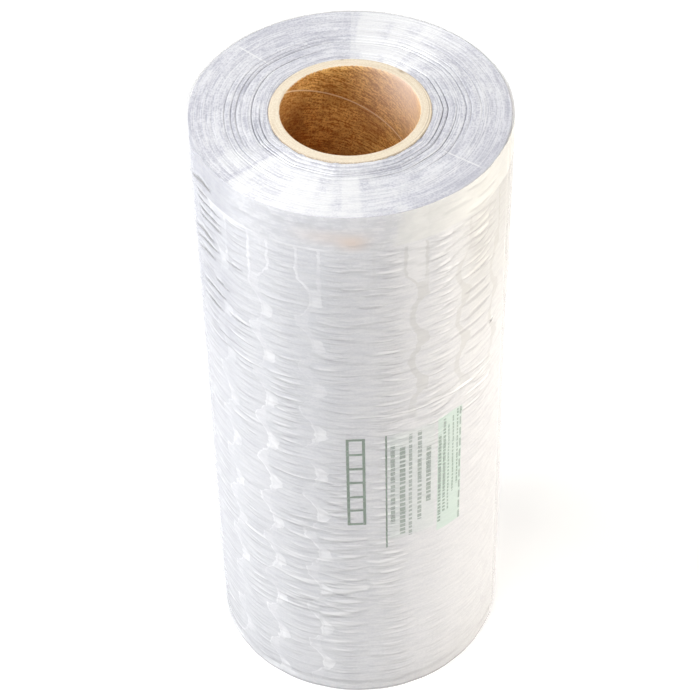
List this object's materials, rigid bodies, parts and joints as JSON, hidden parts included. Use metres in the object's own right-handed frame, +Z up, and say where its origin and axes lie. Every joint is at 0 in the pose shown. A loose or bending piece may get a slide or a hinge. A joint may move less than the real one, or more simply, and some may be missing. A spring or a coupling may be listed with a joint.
{
  "type": "air pillow film roll",
  "caption": "Roll of uninflated air cushion film, heat sealed in a honeycomb of round cells, wound on a spiral paperboard core and standing on one end.",
  "frame": {"origin": "centre of the lower end face, on the roll's axis", "axes": "+Z up along the roll's axis and its core's bore; +Y points away from the side that faces the viewer"},
  "size_m": [0.178, 0.1781, 0.4],
  "materials": {
    "film": "translucent polyethylene film, satin, wrinkled between its heat seals",
    "paperboard": "spiral-wound kraft paperboard, matte, cream where it is cut"
  },
  "bodies": {
    "root": {"film_roll": "film", "core_tube": "paperboard"}
  },
  "joints": []
}
